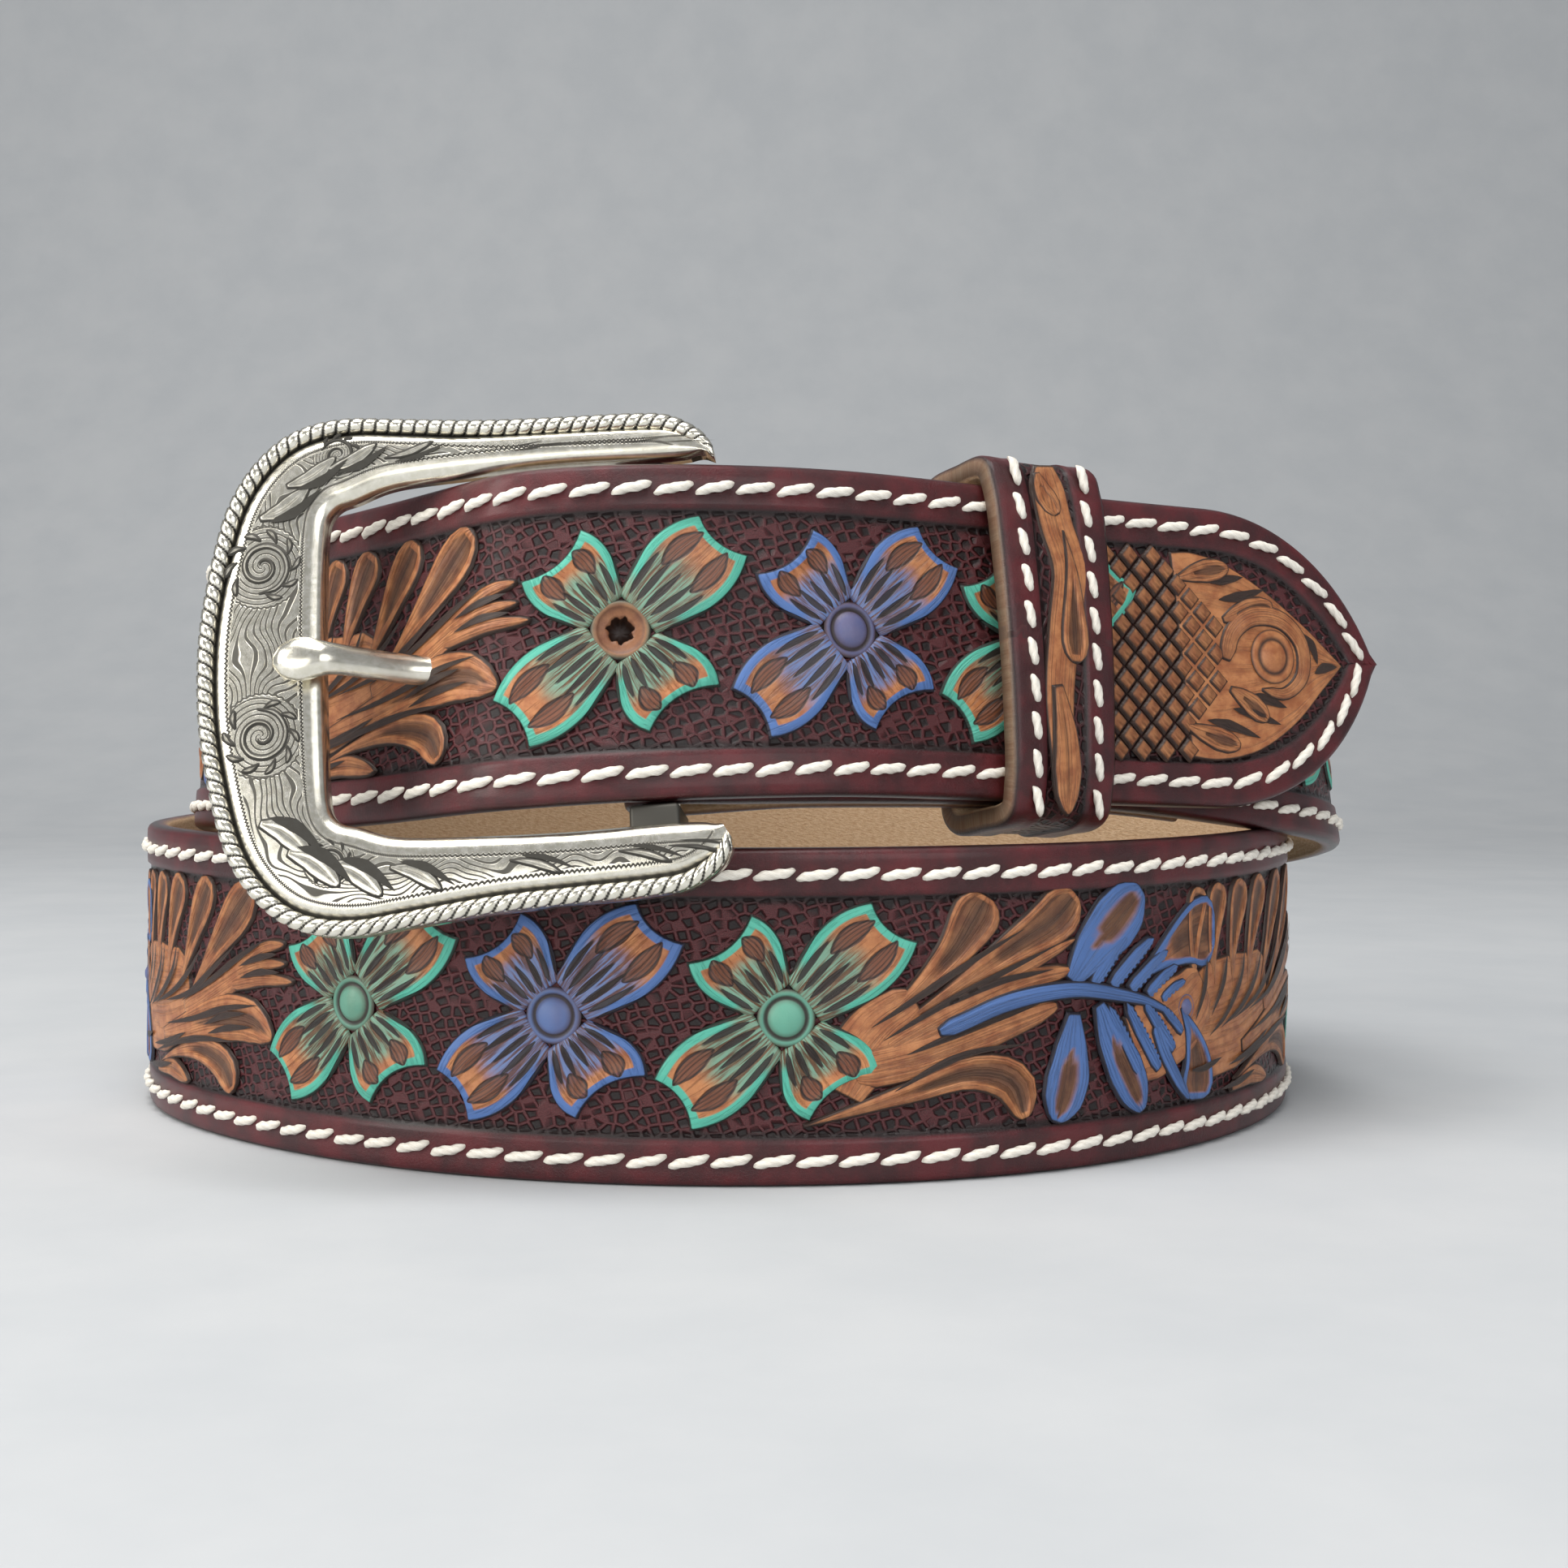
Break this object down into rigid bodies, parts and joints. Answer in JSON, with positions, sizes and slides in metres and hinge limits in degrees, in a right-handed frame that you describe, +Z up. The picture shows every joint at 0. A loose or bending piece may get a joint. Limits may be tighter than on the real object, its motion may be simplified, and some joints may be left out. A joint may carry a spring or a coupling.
{
  "type": "western tooled belt",
  "caption": "Tooled and painted leather strap with a keeper and an engraved western buckle, fastened and wound into a two-turn coil.",
  "frame": {"origin": "below the middle of the coil's box, on the surface that its lower edge stands on", "axes": "+Z up, the buckle faces -Y, the belt's tip points to +X"},
  "size_m": [0.1688, 0.1528, 0.0872],
  "materials": {
    "strap_leather": "burgundy dyed, carved and matted, tan and painted ornament, glossy borders",
    "keeper_leather": "burgundy dyed with a tan carved band, satin",
    "carved_leather": "tan carved ornament with turquoise and blue painted petals",
    "stitching": "white waxed thread, slightly soiled",
    "buckle_silver": "antique silver, engraved and darkened in its cuts",
    "prong_silver": "polished silver, lightly worn",
    "screw_metal": "plain nickel, satin"
  },
  "bodies": {
    "root": {"strap": "strap_leather", "keeper": "keeper_leather", "buckle_frame": "buckle_silver", "prong": "prong_silver", "fold_screw_upper": "screw_metal", "fold_screw_lower": "screw_metal"}
  },
  "joints": []
}
